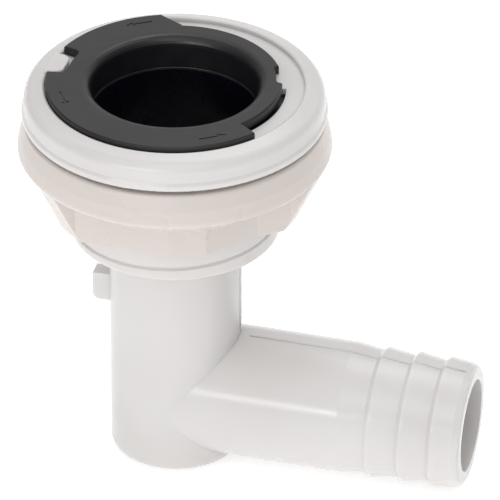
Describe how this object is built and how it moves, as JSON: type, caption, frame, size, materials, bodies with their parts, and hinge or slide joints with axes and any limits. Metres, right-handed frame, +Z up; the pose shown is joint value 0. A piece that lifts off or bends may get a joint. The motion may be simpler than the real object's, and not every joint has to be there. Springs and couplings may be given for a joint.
{
  "type": "thru hull fitting",
  "caption": "Flanged thru-hull fitting with a twist-lock socket insert, a clamping nut and a ninety-degree barbed hose tail.",
  "frame": {"origin": "on the barrel axis, level with the flange's underside, where the outside of the hull skin meets it", "axes": "+Z up the barrel and socket axis, out of the socket's mouth; +X along the hose tail, towards its open end, level while the tail itself droops by one degree; +Y completes a right-handed frame"},
  "size_m": [0.1042, 0.0702, 0.0956],
  "materials": {
    "white_plastic": "semi-gloss moulded",
    "cream_plastic": "semi-gloss moulded",
    "black_plastic": "satin moulded",
    "seal_rubber": "matte"
  },
  "bodies": {
    "fitting": {"hull_body": "white_plastic", "elbow_tail": "white_plastic"},
    "gasket": {"hull_gasket": "seal_rubber"},
    "nut": {"lock_nut": "cream_plastic"},
    "insert": {"socket_sleeve": "black_plastic", "plug_seal": "seal_rubber", "collar_seal": "seal_rubber", "foot_seal": "seal_rubber"},
    "twist_ring": {"lock_ring": "black_plastic"}
  },
  "joints": [
    {"name": "nut_travel", "type": "slide", "parent": "fitting", "child": "gasket", "axis": [0, 0, -1], "range_m": [0, 0.0075]},
    {"name": "nut_spin", "type": "hinge", "parent": "gasket", "child": "nut", "pos_m": [0, 0, 0], "axis": [0, 0, 1], "range_deg": [-540, 0]},
    {"name": "insert_lift", "type": "slide", "parent": "fitting", "child": "insert", "axis": [0, 0, 1], "range_m": [0, 0.038]},
    {"name": "ring_twist", "type": "hinge", "parent": "insert", "child": "twist_ring", "pos_m": [0, 0, 0.007], "axis": [0, 0, 1], "range_deg": [0, 5]}
  ],
  "couplings": [
    {"joint": "nut_travel", "follows": "nut_spin", "m_per_rad": -0.00079577}
  ]
}
